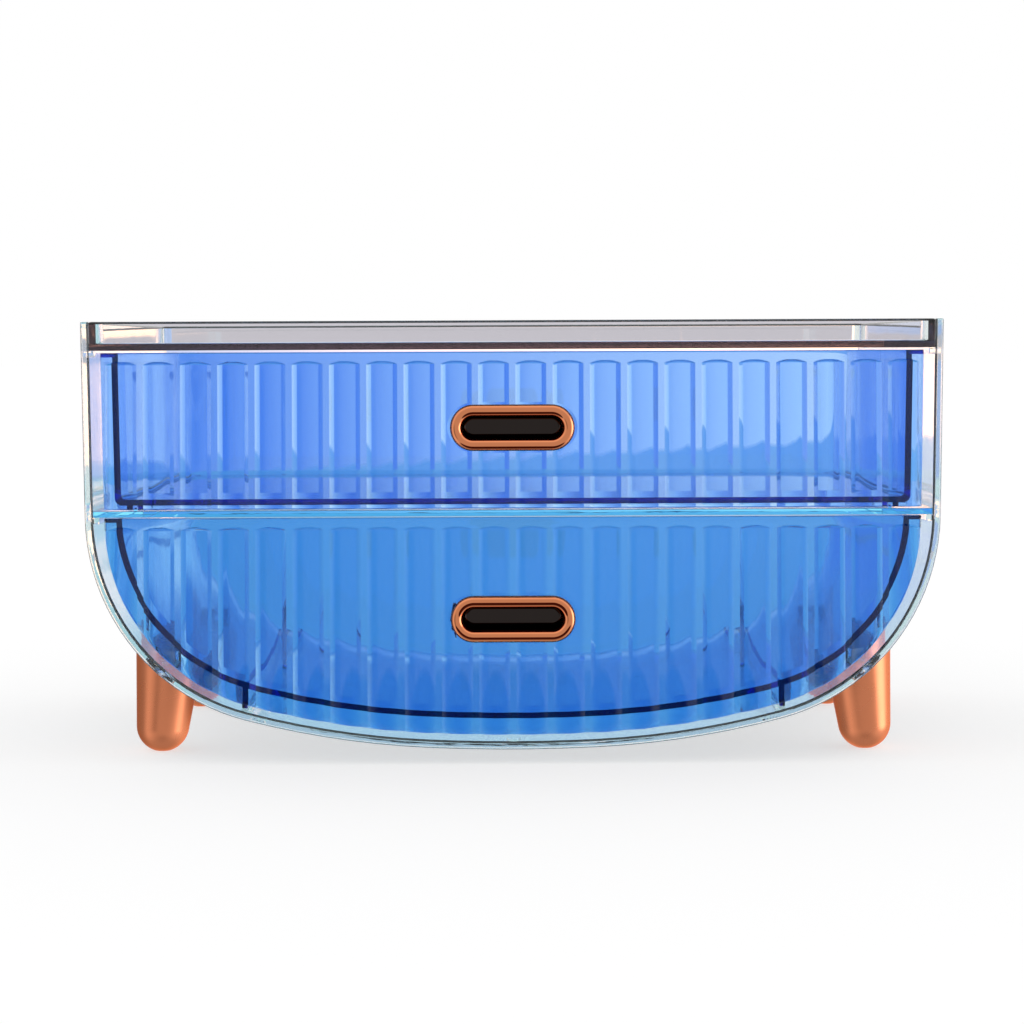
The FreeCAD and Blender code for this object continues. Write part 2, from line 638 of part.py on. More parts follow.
def make_upper_tray():
    """Flat-floored tray with wide rear corners, on two pairs of glide ribs."""
    body = new_body("upper_drawer_tray")
    floor = "(%s + Sizes.glide_height)" % SHELF_TOP
    inner_floor = "(%s + Sizes.tray_wall)" % floor
    inner_rear = "(%s - Sizes.tray_wall)" % TRAY_REAR
    outside = add_sketch(body, "outside_profile", depth=FRONT_BACK)
    side_profile(outside, TRAY_INSET, floor, UPPER_TOP)
    feature(body, "Pad", "block", outside, Length="%s - %s" % (TRAY_REAR, FRONT_BACK), Reversed=True)
    inside = add_sketch(body, "inside_profile", depth=FRONT_BACK)
    side_profile(inside, "%s + Sizes.tray_wall" % TRAY_INSET, inner_floor,
                 "(%s + Sizes.overrun)" % UPPER_TOP)
    feature(body, "Pocket", "inside", inside, Length="%s - %s" % (inner_rear, FRONT_BACK))
    for name, rear, low, corner, edge in (
            ("inner", inner_rear, inner_floor, "Sizes.tray_corner - Sizes.tray_wall",
             "Sizes.tray_inner_round"),
            ("outer", TRAY_REAR, floor, "Sizes.tray_corner", "Sizes.tray_edge_round")):
        behind, under, top, front = map(value, (rear, low, UPPER_TOP, FRONT_BACK))
        round_edges(body, name + "_corner_round", corner, lambda p: near(p.y, behind),
                    lambda p: near(p.z, under) or near(p.z, top))
        round_edges(body, name + "_floor_round", edge, lambda p: near(p.z, under),
                    lambda p: near(p.y, front))
    side_end = "(%s - Sizes.tray_corner)" % TRAY_REAR
    add_flanges(body, UPPER_TOP, side_end)
    for side in (-1, 1):
        for pair in (-1, 1):
            middle = "(%s + %d * Sizes.upper_glide_spacing / 2)" % (UPPER_GLIDE, pair)
            across = span("%s - Sizes.glide_width / 2" % middle,
                          "%s + Sizes.glide_width / 2" % middle, side)
            block(body, "glide%d_%d" % (side, pair), across, (FRONT_BACK, side_end),
                  ("%s + Sizes.glide_clearance" % SHELF_TOP, "%s + Sizes.tray_wall / 2" % floor))
    return body


def make_lower_tray():
    """Bowl-shaped tray that follows the shell, on two glide ribs."""
    body = new_body("lower_drawer_tray")
    outline_pad(body, "block", TRAY_INSET, "0", ABOVE, FRONT_BACK, TRAY_REAR)
    cut_layer(body, "above", LOWER_TOP, ABOVE)
    rear, high = value(TRAY_REAR), value(LOWER_TOP)
    round_edges(body, "rear_round", "Sizes.tray_rear_round",
                lambda p: near(p.y, rear), lambda p: near(p.z, high))
    inside = add_sketch(body, "inside_outline", depth=FRONT_BACK)
    outline.draw(inside, "%s + Sizes.tray_wall" % TRAY_INSET, "0", ABOVE)
    feature(body, "Pocket", "inside", inside,
            Length="%s - %s - Sizes.tray_wall" % (TRAY_REAR, FRONT_BACK))
    inner_rear = value("%s - Sizes.tray_wall" % TRAY_REAR)
    round_edges(body, "inside_round", "Sizes.tray_rear_round - Sizes.tray_wall",
                lambda p: near(p.y, inner_rear), lambda p: near(p.z, high))
    side_end = "(%s - Sizes.tray_rear_round)" % TRAY_REAR
    add_flanges(body, LOWER_TOP, side_end)
    half = value("Sizes.glide_width") / 2
    place = value(LOWER_GLIDE)
    foot = outline.level(place + half, value("Sizes.shell_wall"))
    head = outline.level(place - half, value(TRAY_INSET))
    for side in (-1, 1):
        across = span("%s - Sizes.glide_width / 2" % LOWER_GLIDE,
                      "%s + Sizes.glide_width / 2" % LOWER_GLIDE, side)
        block(body, "glide%d" % side, across, (FRONT_BACK, side_end),
              ("%.6f + Sizes.glide_clearance" % foot, "%.6f + Sizes.tray_wall / 2" % head))
    return body


def make_bezel(name, level):
    """Raised oval ring of a handle, with the collar that passes the slot."""
    body = new_body(name)
    ring = stadium_sketch(body, "ring_outline", "Sizes.handle_height / 2", FRONT_FACE, level)
    feature(body, "Pad", "ring", ring, Length="Sizes.handle_stand")
    collar = stadium_sketch(body, "collar_outline", COLLAR, FRONT_FACE, level)
    feature(body, "Pad", "collar", collar, Length="%s - %s" % (COLLAR_END, FRONT_FACE),
            Reversed=True)
    hole = stadium_sketch(body, "opening_outline", OPENING,
                          "%s - Sizes.handle_stand - Sizes.overrun" % FRONT_FACE, level)
    feature(body, "Pocket", "opening", hole, Type="ThroughAll")
    crest = value("%s - Sizes.handle_stand" % FRONT_FACE)
    round_edges(body, "crown", "Sizes.handle_ring * Sizes.ring_round_share",
                lambda p: near(p.y, crest))
    return body


def make_cup(name, level):
    """Finger cup of a handle, pushed over the collar from behind the front."""
    body = new_body(name)
    socket_radius = "(%s + Sizes.cup_clearance)" % COLLAR
    outside = stadium_sketch(body, "cup_outline", "%s + Sizes.cup_wall" % socket_radius,
                             FRONT_BACK, level)
    feature(body, "Pad", "cup_block", outside, Length="Sizes.cup_depth", Reversed=True)
    cavity = stadium_sketch(body, "cavity_outline", OPENING, FRONT_BACK, level)
    feature(body, "Pocket", "cavity", cavity, Length="Sizes.cup_depth - Sizes.cup_wall")
    socket = stadium_sketch(body, "socket_outline", socket_radius, FRONT_BACK, level)
    feature(body, "Pocket", "socket", socket,
            Length="%s - %s + Sizes.cup_clearance" % (COLLAR_END, FRONT_BACK))
    floor = value("%s + Sizes.cup_depth - Sizes.cup_wall" % FRONT_BACK)
    round_edges(body, "floor_round", "Sizes.cup_round", lambda p: near(p.y, floor))
    back = value("%s + Sizes.cup_depth" % FRONT_BACK)
    round_edges(body, "back_round", "Sizes.cup_round", lambda p: near(p.y, back))
    return body


def leg_body(name, side, depth):
    """A tapered peg with a domed foot, leaning so that its outer side is upright."""
    body = new_body(name + "_turned")
    sketch = add_sketch(body, "leg_profile")
    radius, length = value("Sizes.leg_foot_radius"), value("Sizes.leg_length")
    reach = radius / math.cos(leg_lean) + length * math.tan(leg_lean)
    tangent = Vector(radius * math.cos(leg_lean), -radius * math.sin(leg_lean), 0)
    corner, top, foot = Vector(reach, length, 0), Vector(0, length, 0), Vector(0, -radius, 0)
    circle = Part.Circle(Vector(0, 0, 0), Vector(0, 0, 1), radius)
    sketch.addGeometry(Part.ArcOfCircle(circle, -math.pi / 2, -leg_lean))
    sketch.addGeometry(Part.LineSegment(tangent, corner))
    sketch.addGeometry(Part.LineSegment(corner, top))
    sketch.addGeometry(Part.LineSegment(top, foot))
    sketch.addConstraint(Sketcher.Constraint("Tangent", 0, 2, 1, 1))
    for i in (1, 2, 3):
        sketch.addConstraint(Sketcher.Constraint("Coincident", i, 2, (i + 1) % 4, 1))
    sketch.addConstraint(Sketcher.Constraint("Coincident", 0, 3, -1, 1))
    sketch.addConstraint(Sketcher.Constraint("Horizontal", 2))
    sketch.addConstraint(Sketcher.Constraint("PointOnObject", 2, 2, -2))
    sketch.addConstraint(Sketcher.Constraint("PointOnObject", 3, 2, -2))
    dimension(sketch, "Radius", "foot_radius", "Sizes.leg_foot_radius", 0)
    dimension(sketch, "DistanceY", "leg_length", "Sizes.leg_length", -1, 1, 2, 2)
    dimension(sketch, "Angle", "taper", "90 - Sizes.leg_taper", 1)
    feature(body, "Revolution", "turned", sketch, ReferenceAxis=(sketch, ["V_Axis"]), Angle=360.0)
    body.Placement = Placement(Vector(), Rotation(Vector(0, 1, 0), -side * value("Sizes.leg_taper")))
    bind(body, Placement__Base__x="%d * %s" % (side, LEG_PLACE), Placement__Base__y=depth,
         Placement__Base__z="sqrt(Sizes.leg_foot_radius ^ 2 - Sizes.leg_pad_radius ^ 2)")
    return body


def primitive(kind, name, **expressions):
    """A simple solid of the document with its sizes tied to the sheet."""
    item = doc.addObject("Part::" + kind, name)
    return bind(item, **expressions)


def boolean(kind, name, base, tool):
    """One solid less, or shared with, another."""
    item = doc.addObject("Part::" + kind, name)
    item.Base = base
    item.Tool = tool
    return item


def make_leg(name, side, depth, housing, ground):
    """A leg cut level at the ground and fitted to the underside of the shell."""
    turned = leg_body(name, side, depth)
    level = boolean("Cut", name + "_level", turned, ground)
    fitted = boolean("Cut", name + "_fitted", level, housing)
    bore = primitive("Cylinder", name + "_bore", Radius="Sizes.screw_radius",
                     Height="Sizes.screw_length * Sizes.bore_depth_share",
                     Placement__Base__x="%.6f" % (side * screw_across),
                     Placement__Base__y=depth,
                     Placement__Base__z="%.6f - Sizes.screw_clearance" % screw_foot)
    leg = boolean("Cut", "leg_" + name, fitted, bore)
    leg.Label = "leg_" + name
    return leg


def screw_body(name, side, depth):
    """A pan-head screw with a cross recess, standing in its boss."""
    body = new_body("screw_" + name)
    sketch = add_sketch(body, "screw_profile")
    radius, head = "Sizes.screw_radius", "Sizes.screw_head_radius"
    rise, length = "Sizes.screw_head_height", "Sizes.screw_length"
    closed_lines(sketch, [("0", "-" + length), (radius + " * Sizes.screw_tip_share", "-" + length),
                          (radius, "-%s + %s * Sizes.screw_point_share" % (length, radius)),
                          (radius, "0"), (head, "0"), (head, rise + " * Sizes.screw_rim_share"),
                          (head + " * Sizes.screw_crown_share", rise), ("0", rise)])
    feature(body, "Revolution", "turned", sketch, ReferenceAxis=(sketch, ["V_Axis"]), Angle=360.0)
    half_slot = "Sizes.screw_recess_width / 2"
    deep = (rise + " - Sizes.screw_recess_depth", rise + " + Sizes.overrun")
    along, across = ("-" + radius, radius), ("-" + half_slot, half_slot)
    block(body, "slot_x", along, across, deep, cut=True)
    block(body, "slot_y", across, along, deep, cut=True)
    bind(body, Placement__Base__x="%.6f" % (side * screw_across), Placement__Base__y=depth,
         Placement__Base__z="%.6f" % head_level)
    return body


def washer_body(name, side, depth):
    """The flat washer under a screw's head."""
    body = new_body("washer_" + name)
    post(body, "disc", "0", "0", "Sizes.washer_radius", ("0", "Sizes.washer_thickness"))
    post(body, "hole", "0", "0", "(Sizes.screw_radius + Sizes.screw_clearance)",
         ("-Sizes.overrun", "Sizes.overrun"), cut=True)
    bind(body, Placement__Base__x="%.6f" % (side * screw_across), Placement__Base__y=depth,
         Placement__Base__z="%.6f" % seat_level)
    return body


def group(name, bodies):
    """Separate solids of one kind in one node."""
    item = doc.addObject("Part::Compound", name)
    item.Links = bodies
    item.Label = name
    return item


def make_parts():
    """Every piece of the box, in the order in which it is put together."""
    upper = "(%s + Sizes.upper_handle_share * (%s - %s))" % (UPPER_BOTTOM, UPPER_TOP, UPPER_BOTTOM)
    lower = "(%s + Sizes.lower_handle_share * (%s - %s))" % (LOWER_BOTTOM, LOWER_TOP, LOWER_BOTTOM)
    housing = new_body("housing_block")
    outline_pad(housing, "whole", "0", "0", RIM, "0", "Sizes.housing_depth")
    ground = primitive("Box", "ground", Length="Sizes.housing_width", Width="Sizes.housing_depth",
                       Height="Sizes.overrun", Placement__Base__x="-Sizes.housing_width / 2",
                       Placement__Base__z="-Sizes.overrun")
    parts = [make_shell(), make_rear_panel(), make_shelf(), make_top_tray(),
             make_front("upper_drawer_front", UPPER_TOP, upper, UPPER_BOTTOM), make_upper_tray(),
             make_bezel("upper_handle_bezel", upper), make_cup("upper_handle_cup", upper),
             make_front("lower_drawer_front", LOWER_TOP, lower), make_lower_tray(),
             make_bezel("lower_handle_bezel", lower), make_cup("lower_handle_cup", lower)]
    parts += [make_leg(*place, housing, ground) for place in leg_places()]
    parts.append(group("leg_screws", [screw_body(*place) for place in leg_places()]))
    parts.append(group("leg_washers", [washer_body(*place) for place in leg_places()]))
    for part in parts:
        bind(part, Placement__Base__y=FRONT_EDGE)
    doc.recompute()
    return parts


def check(parts):
    """Stop if any object failed or any piece isn't a sound solid."""
    for item in doc.Objects:
        if "Invalid" in item.State or "Error" in item.State:
            raise RuntimeError("%s failed: %s" % (item.Name, item.getStatusString()))
    for part in parts:
        if part.Shape.isNull() or not part.Shape.isValid() or not part.Shape.Solids:
            raise RuntimeError("%s isn't a sound solid" % part.Label)


parts = make_parts()
check(parts)
os.makedirs("parts", exist_ok=True)
for part in parts:
    part.Shape.exportStep("parts/%s.step" % part.Label)
    box = part.Shape.BoundBox
    print(part.Label, len(part.Shape.Solids), "solids", round(part.Shape.Volume), "mm3",
          [round(n, 2) for n in (box.XMin, box.XMax, box.YMin, box.YMax, box.ZMin, box.ZMax)])
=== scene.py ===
import math

import bmesh
import bpy
from mathutils import Euler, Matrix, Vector


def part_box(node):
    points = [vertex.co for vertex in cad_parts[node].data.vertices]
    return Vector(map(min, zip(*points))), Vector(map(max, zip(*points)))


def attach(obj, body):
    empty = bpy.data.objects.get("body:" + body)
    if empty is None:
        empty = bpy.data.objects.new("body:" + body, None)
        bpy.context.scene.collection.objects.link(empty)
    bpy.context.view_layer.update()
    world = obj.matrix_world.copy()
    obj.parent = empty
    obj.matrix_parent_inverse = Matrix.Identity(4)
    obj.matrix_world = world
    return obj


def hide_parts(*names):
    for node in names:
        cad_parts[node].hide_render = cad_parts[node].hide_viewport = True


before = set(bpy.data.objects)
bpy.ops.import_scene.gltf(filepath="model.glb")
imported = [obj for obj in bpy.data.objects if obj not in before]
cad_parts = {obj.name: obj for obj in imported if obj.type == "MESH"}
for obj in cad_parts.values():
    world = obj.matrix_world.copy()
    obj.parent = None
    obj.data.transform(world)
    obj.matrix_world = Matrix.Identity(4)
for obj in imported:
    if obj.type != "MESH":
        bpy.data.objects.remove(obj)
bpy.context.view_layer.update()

MM = 0.001

# Camera: level, in front of the box's middle, with its frame moved down onto the box
CAMERA_DISTANCE = 800 * MM
CAMERA_HEIGHT = 129.7 * MM
CAMERA_ROLL = math.radians(0.25)
LENS = 90.0
SENSOR = 36.0
SHIFT_Y = -0.159

# Plain levels of the light and the floor; a background strength of 1 is white
DIFFUSE_LEVEL = 0.85
WHITE = (1, 1, 1, 1)
WHITE_LEVEL = 1.0
FLOOR_SIZE = 40.0
FLOOR_COLOUR = (0.45, 0.45, 0.45, 1)
FLOOR_GLOW = 0.63

# Bounces, enough for the many walls of plastic behind each other
PLASTIC_BOUNCES = 64
GLOSSY_BOUNCES = 12

# Table that glass sees: an emission tinted blue-green with painted shade, darker near the box and
# to the left, paler to the right and the rear, with an oblique far edge
TABLE_SHADED = (0.50, 0.80, 0.86, 1)
TABLE_LIT = (0.90, 0.97, 0.95, 1)
TABLE_TURN = (-0.02, 0.48)
TABLE_TURN_DEPTH = 0.2
TABLE_EDGE = (2.10, 2.25)
TABLE_EDGE_SLOPE = 1.1

# Backdrop that glass sees, by a ray's direction: brighter to the right, a grey strip at its foot
BACKDROP_LEFT = (0.45, 0.60, 0.93, 1)
BACKDROP_RIGHT = (2.7, 1.75, 1.2, 1)
BACKDROP_TURN = (-0.16, 0.16)
BACKDROP_HIGH = (0.48, 0.66, 0.81, 1)
BACKDROP_RISE = (0.065, 0.115)
BACKDROP_LOW = (0.62, 0.60, 0.65, 1)
BACKDROP_LOW_RISE = (0.001, 0.0022)
BACKDROP_LOW_END = (0.0108, 0.012)

# Table that metal sees: painted shade under the box and a painted dark spot in front, with near and
# far radius
UNDER_BOX = (0.0, 0.03, 0.0)
UNDER_BOX_REACH = (0.09, 0.115)
UNDER_BOX_SHADE = (0.45, 0.38, 0.35, 1)
DARK_SPOT = (0.0, -0.21, 0.0)
DARK_SPOT_REACH = (0.088, 0.115)
DARK_SPOT_SHADE = (0.06, 0.015, 0.01, 1)

# Light that metal sees: direction, outer and inner angle of a soft patch, change of level
ROOM = (
    ((0.0, -1.0, 0.0), 75, 30, -0.36),
    ((0.0, 0.0, -1.0), 60, 20, -0.45),
    ((-0.5, -0.85, -0.15), 14, 8, -0.3),
    ((-1.0, 0.6, 0.0), 60, 25, -0.6),
    ((0.98, -0.2, 0.0), 30, 11, 2.0),
)

# Light that glass sees, in the same way
BEHIND = (
    ((0.0, -1.0, 0.0), 70, 30, -0.4),
    ((0.0, 0.0, 1.0), 60, 25, -0.7),
)

# Front outline of the box: three arcs and a leaning side, as in the CAD
FLOOR_RADIUS = 560 * MM
HAUNCH_RADIUS = 280 * MM
CORNER_RADIUS = 67 * MM
FLOOR_ANGLE = math.radians(2.7)
SIDE_LEAN = math.radians(1.15)
ARC_STEP = math.radians(1.5)

# Shell's wall, air at bonded faces, rounded edges, and the least run for working out a slope
SHELL_WALL = 2.6 * MM
BOND_GAP = 0.04 * MM
EDGE_ROUND = 0.8 * MM
SMALL_ROUND = 0.2 * MM
ROUND_STEPS = 4
BEVEL_STEPS = 2
BEVEL_PROFILE = 0.5
LEAST_RUN = 0.0002 * MM

# Shading: from this angle an edge stays sharp, and from this area a face stays flat
SHARP_EDGE = math.radians(30)
SHARP_EDGE_OF_FRONT = math.radians(20)
LARGE_FACE = 100 * MM * MM

# Top tray and shelf
RIM_WALL = 1.5 * MM
RIM_FLOOR = 2.1 * MM
RIM_CORNER = 3 * MM
RIM_ROUND = 0.74 * MM
SHELF_THICKNESS = 2 * MM
RAIL_WIDTH = 1.1 * MM
RAIL_INSET = 6 * MM
TRAY_INSET = 9.4 * MM
RAIL_GAP = 0.3 * MM

# Drawer fronts
FRONT_THICKNESS = 3.6 * MM
FRONT_INSET = 5.9 * MM
FRONT_DROP = 1.4 * MM
FRONT_ROUND = 0.45 * MM
PLAIN_BAND = 2.8 * MM
FLUTE_PITCH = 11.67 * MM
FLUTE_DEPTH = 1.1 * MM
FLUTE_VALLEY = 2.0 * MM
FLUTE_COUNT = 22
FLUTE_STEPS = 16
FRONT_ROWS = 20
CAP_STEPS = 8

# Hollow behind each flute, which keeps the wall even, and the flat land round tray and cup
FLUTE_WALL = 3.0 * MM
HOLLOW_DEPTH = FRONT_THICKNESS - FLUTE_WALL
HOLLOW_EDGE_DEPTH = 0.01 * MM
HOLLOW_STEPS = 12
LAND = 2 * MM
TRAY_WALL = 1.8 * MM
GLIDE_HEIGHT = 1.7 * MM
CUP_LAND_HEIGHT = 15.9 * MM
OVERRUN = 1 * MM

# Handle slot in a front, and the raised seat round it
HANDLE_LENGTH = 39 * MM
HANDLE_HEIGHT = 14.5 * MM
SLOT_HEIGHT = 9.8 * MM
SEAT_GAP = 0.15 * MM
STADIUM_STEPS = 16

# Noise where nothing else is asked, and the span that it mostly keeps to
NO_STRETCH = (1, 1, 1)
PLAIN_DETAIL = 2.0
NOISE_SPAN = (0.3, 0.7)

# Targets for a share that rises or falls over a span
RISING = (0.0, 1.0)
FALLING = (1.0, 0.0)

# Plastic: its refraction, the flow waves of the clear and of the blue pieces, and fine scuffs
REFRACTION = 1.5
CLEAR_FLOW = {"waves": 60, "stretch": (1, 1, 0.4), "depth": 0.02 * MM}
BLUE_FLOW = {"waves": 160, "stretch": (1, 1, 0.12), "depth": 0.03 * MM}
TOP_TRAY_LOSS = (17.0, 19.0, 17.5)
SCUFF_SCALE = 420
SCUFF_STRETCH = (1, 1, 0.15)
SCUFF_DETAIL = 6.0
SCUFF_SPAN = (0.58, 0.80)
SCUFF_ROUGHNESS = (0.0, 0.05)

# Plating: smudges in its roughness, a slow change of tone, its coat, and warm edges
SMUDGE_SCALE = 90
SMUDGE_DETAIL = 4.0
TONE_SCALE = 60
TONE_DETAIL = 3.0
DARKER_TONE_SHARE = 0.9
COAT_ROUGHNESS = 0.22
WARM_EDGE = (1.0, 0.5, 0.35, 1)

# CAD nodes that keep their meshes and get a material
BEZELS = ("upper_handle_bezel", "lower_handle_bezel")
CUPS = ("upper_handle_cup", "lower_handle_cup")
LEGS = ("leg_front_left", "leg_front_right", "leg_rear_left", "leg_rear_right")
STEEL = ("leg_screws", "leg_washers")
TRAYS = ("upper_drawer_tray", "lower_drawer_tray")


def new_material(name):
    """An empty node material and its output."""
    material = bpy.data.materials.new(name)
    material.use_nodes = True
    material.node_tree.nodes.clear()
    output = material.node_tree.nodes.new("ShaderNodeOutputMaterial")
    return material, output


def add_node(tree, kind, **settings):
    """A node with settings on itself or, by their names, on its inputs."""
    node = tree.nodes.new("ShaderNode" + kind)
    for name, setting in settings.items():
        if hasattr(node, name):
            setattr(node, name, setting)
        else:
            node.inputs[name.replace("_", " ")].default_value = setting
    return node


def noise(tree, scale, stretch=NO_STRETCH, detail=PLAIN_DETAIL):
    """Noise in the piece's own space, stretched along its axes."""
    place = add_node(tree, "TexCoord")
    mapping = add_node(tree, "Mapping", Scale=stretch)
    tree.links.new(place.outputs["Object"], mapping.inputs["Vector"])
    texture = add_node(tree, "TexNoise", Scale=scale, Detail=detail)
    tree.links.new(mapping.outputs["Vector"], texture.inputs["Vector"])
    return texture.outputs["Fac"]


def remap(tree, source, target, span=NOISE_SPAN):
    """A number, moved from its span to a target range and held within it."""
    node = add_node(tree, "MapRange", From_Min=span[0], From_Max=span[1],
                    To_Min=target[0], To_Max=target[1])
    tree.links.new(source, node.inputs["Value"])
    return node.outputs["Result"]


def combine(tree, operation, one, other):
    """Arithmetic on two node outputs or numbers."""
    node = add_node(tree, "Math", operation=operation)
    for socket, item in zip(node.inputs, (one, other)):
        if isinstance(item, (int, float)):
            socket.default_value = item
        else:
            tree.links.new(item, socket)
    return node.outputs["Value"]


def mix_colour(tree, factor, one, other):
    """One colour where a number is 0, the other where it is 1: node outputs or plain colours."""
    node = add_node(tree, "Mix", data_type="RGBA")
    tree.links.new(factor, node.inputs["Factor"])
    for name, item in (("A", one), ("B", other)):
        if isinstance(item, tuple):
            node.inputs[name].default_value = item
        else:
            tree.links.new(item, node.inputs[name])
    return node.outputs["Result"]


def mix_shader(tree, factor, one, other):
    """One shader where a number is 0, the other where it is 1."""
    node = add_node(tree, "MixShader")
    for socket, item in zip(node.inputs, (factor, one, other)):
        tree.links.new(item, socket)
    return node.outputs["Shader"]


def bump(tree, shader, source, depth):
    """Relief of a real depth on a shader."""
    relief = add_node(tree, "Bump", Strength=1.0, Distance=depth)
    tree.links.new(source, relief.inputs["Height"])
    tree.links.new(relief.outputs["Normal"], shader.inputs["Normal"])


def plastic(name, loss, waves, stretch, depth, haze=0.0, painted_shade_level=1.0):
    """Clear or tinted plastic: loss per metre of red, green and blue, flow waves and haze, and a
    base colour level which, below 1, darkens it as painted shade.
    """
    material, output = new_material(name)
    tree = material.node_tree
    shader = add_node(tree, "BsdfPrincipled", Base_Color=(painted_shade_level, painted_shade_level, painted_shade_level, 1), IOR=REFRACTION,
                      Transmission_Weight=1.0 - haze)
    tree.links.new(shader.outputs["BSDF"], output.inputs["Surface"])
    scuffs = noise(tree, SCUFF_SCALE, SCUFF_STRETCH, SCUFF_DETAIL)
    tree.links.new(remap(tree, scuffs, SCUFF_ROUGHNESS, SCUFF_SPAN), shader.inputs["Roughness"])
    bump(tree, shader, noise(tree, waves, stretch), depth)
    density = max(loss)
    kept = [1 - part / density for part in loss]
    lost = add_node(tree, "VolumeAbsorption", Color=(*kept, 1), Density=density)
    tree.links.new(lost.outputs["Volume"], output.inputs["Volume"])
    return material


def plated(name, colour, roughness, grain, depth, coat=0.0, edge=WHITE):
    """Metal plating with a slight grain and smudges."""
    material, output = new_material(name)
    tree = material.node_tree
    shader = add_node(tree, "BsdfPrincipled", Metallic=1.0, Coat_Weight=coat,
                      Coat_Roughness=COAT_ROUGHNESS, Specular_Tint=edge)
    tree.links.new(shader.outputs["BSDF"], output.inputs["Surface"])
    smudges = noise(tree, SMUDGE_SCALE, detail=SMUDGE_DETAIL)
    tree.links.new(remap(tree, smudges, roughness), shader.inputs["Roughness"])
    darker = tuple(DARKER_TONE_SHARE * part for part in colour)
    tone = mix_colour(tree, noise(tree, TONE_SCALE, detail=TONE_DETAIL), (*colour, 1), (*darker, 1))
    tree.links.new(tone, shader.inputs["Base Color"])
    bump(tree, shader, noise(tree, grain), depth)
    return material


def dress(names, material):
    """Give CAD nodes a material."""
    for name in names:
        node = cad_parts[name]
        node.data.materials.clear()
        node.data.materials.append(material)


class Outline:
    """The box's front outline, from its lowest point up to the rim."""

    def __init__(self, low, high):
        self.rim = high.z
        rise_to_rim = high.z - low.z
        end = math.pi / 2 - SIDE_LEAN
        across = ((FLOOR_RADIUS - HAUNCH_RADIUS) * math.sin(FLOOR_ANGLE)
                  + CORNER_RADIUS * math.sin(end))
        rise = (FLOOR_RADIUS - (FLOOR_RADIUS - HAUNCH_RADIUS) * math.cos(FLOOR_ANGLE)
                - CORNER_RADIUS * math.cos(end))
        rest = high.x - across - math.tan(SIDE_LEAN) * (rise_to_rim - rise)
        turn = math.asin(rest * math.cos(SIDE_LEAN) / (HAUNCH_RADIUS - CORNER_RADIUS)) - SIDE_LEAN
        self.width = high.x
        self.angles = (0, FLOOR_ANGLE, turn, end)
        self.radii = (FLOOR_RADIUS, HAUNCH_RADIUS, CORNER_RADIUS)
        place = Vector((0, low.z + FLOOR_RADIUS))
        self.centres = [place]
        for i in (1, 2):
            angle = self.angles[i]
            shift = Vector((math.sin(angle), -math.cos(angle)))
            place = place + (self.radii[i - 1] - self.radii[i]) * shift
            self.centres.append(place)

    def side(self, level, inset, drop=0.0):
        """Half the width across the leaning sides at a level."""
        lean = (self.rim - level - drop) * math.tan(SIDE_LEAN)
        return self.width - inset / math.cos(SIDE_LEAN) - lean

    def half(self, inset, top, drop=0.0):
        """Points from the lowest one up the right side to a level."""
        points = []
        for i, (centre, radius) in enumerate(zip(self.centres, self.radii)):
            begin, finish = self.angles[i], self.angles[i + 1]
            steps = max(1, round((finish - begin) / ARC_STEP))
            for step in range(steps):
                angle = begin + (finish - begin) * step / steps
                reach = (radius - inset) * Vector((math.sin(angle), -math.cos(angle)))
                points.append(centre + reach - Vector((0, drop)))
        end = self.angles[-1]
        reach = (self.radii[-1] - inset) * Vector((math.sin(end), -math.cos(end)))
        points.append(self.centres[-1] + reach - Vector((0, drop)))
        points = [point for point in points if point.y < top]
        points.append(Vector((self.side(top, inset, drop), top)))
        return points

    def whole(self, inset, top, drop=0.0):
        """Points from the left end, along the bottom, to the right end."""
        right = self.half(inset, top, drop)
        return [Vector((-point.x, point.y)) for point in reversed(right[1:])] + right


def new_object(name, bm, material):
    """An object from a bmesh, with its faces turned outwards."""
    bmesh.ops.recalc_face_normals(bm, faces=bm.faces)
    mesh = bpy.data.meshes.new(name)
    bm.to_mesh(mesh)
    bm.free()
    mesh.materials.append(material)
    piece = bpy.data.objects.new(name, mesh)
    bpy.context.scene.collection.objects.link(piece)
    return piece


def settle(piece):
    """Turn a piece with a modifier into a plain mesh."""
    depsgraph = bpy.context.evaluated_depsgraph_get()
    mesh = bpy.data.meshes.new_from_object(piece.evaluated_get(depsgraph))
    old = piece.data
    piece.modifiers.clear()
    piece.data = mesh
    bpy.data.meshes.remove(old)


def keep_flat(mesh, sharp):
    """Keep each large flat face's own normal: one that leans bends what is seen through it."""
    around = [[] for vertex in mesh.vertices]
    for face in mesh.polygons:
        for vertex in face.vertices:
            around[vertex].append(face)
    normals = [corner.vector.copy() for corner in mesh.corner_normals]
    for face in mesh.polygons:
        for corner in face.loop_indices:
            largest = face
            for other in around[mesh.loops[corner].vertex_index]:
                if other.area > largest.area and other.normal.angle(face.normal) < sharp:
                    largest = other
            if largest.area > LARGE_FACE:
                normals[corner] = largest.normal.copy()
    mesh.normals_split_custom_set(normals)


def finish_piece(piece, body, node, sharp=SHARP_EDGE):
    """Smooth a piece, let it ride on its body and stand for its CAD node."""
    piece.data.shade_smooth()
    piece.data.set_sharp_from_angle(angle=sharp)
    keep_flat(piece.data, sharp)
    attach(piece, body)
    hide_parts(node)


def capped_rings(bm, rings):
    """A closed solid through rings of as many points, with a flat cap at each end."""
    made = [[bm.verts.new(point) for point in ring] for ring in rings]
    count = len(made[0])
    for lower, upper in zip(made, made[1:]):
        for i in range(count):
            j = (i + 1) % count
            bm.faces.new((lower[i], lower[j], upper[j], upper[i]))
    bm.faces.new(made[0])
    bm.faces.new(made[-1])


def boolean(piece, tool, operation):
    """Join a tool to a piece, or cut it out, and drop the tool."""
    modifier = piece.modifiers.new(operation.lower(), "BOOLEAN")
    modifier.object = tool
    modifier.operation = operation
    modifier.solver = "EXACT"
    settle(piece)
    bpy.data.objects.remove(tool)


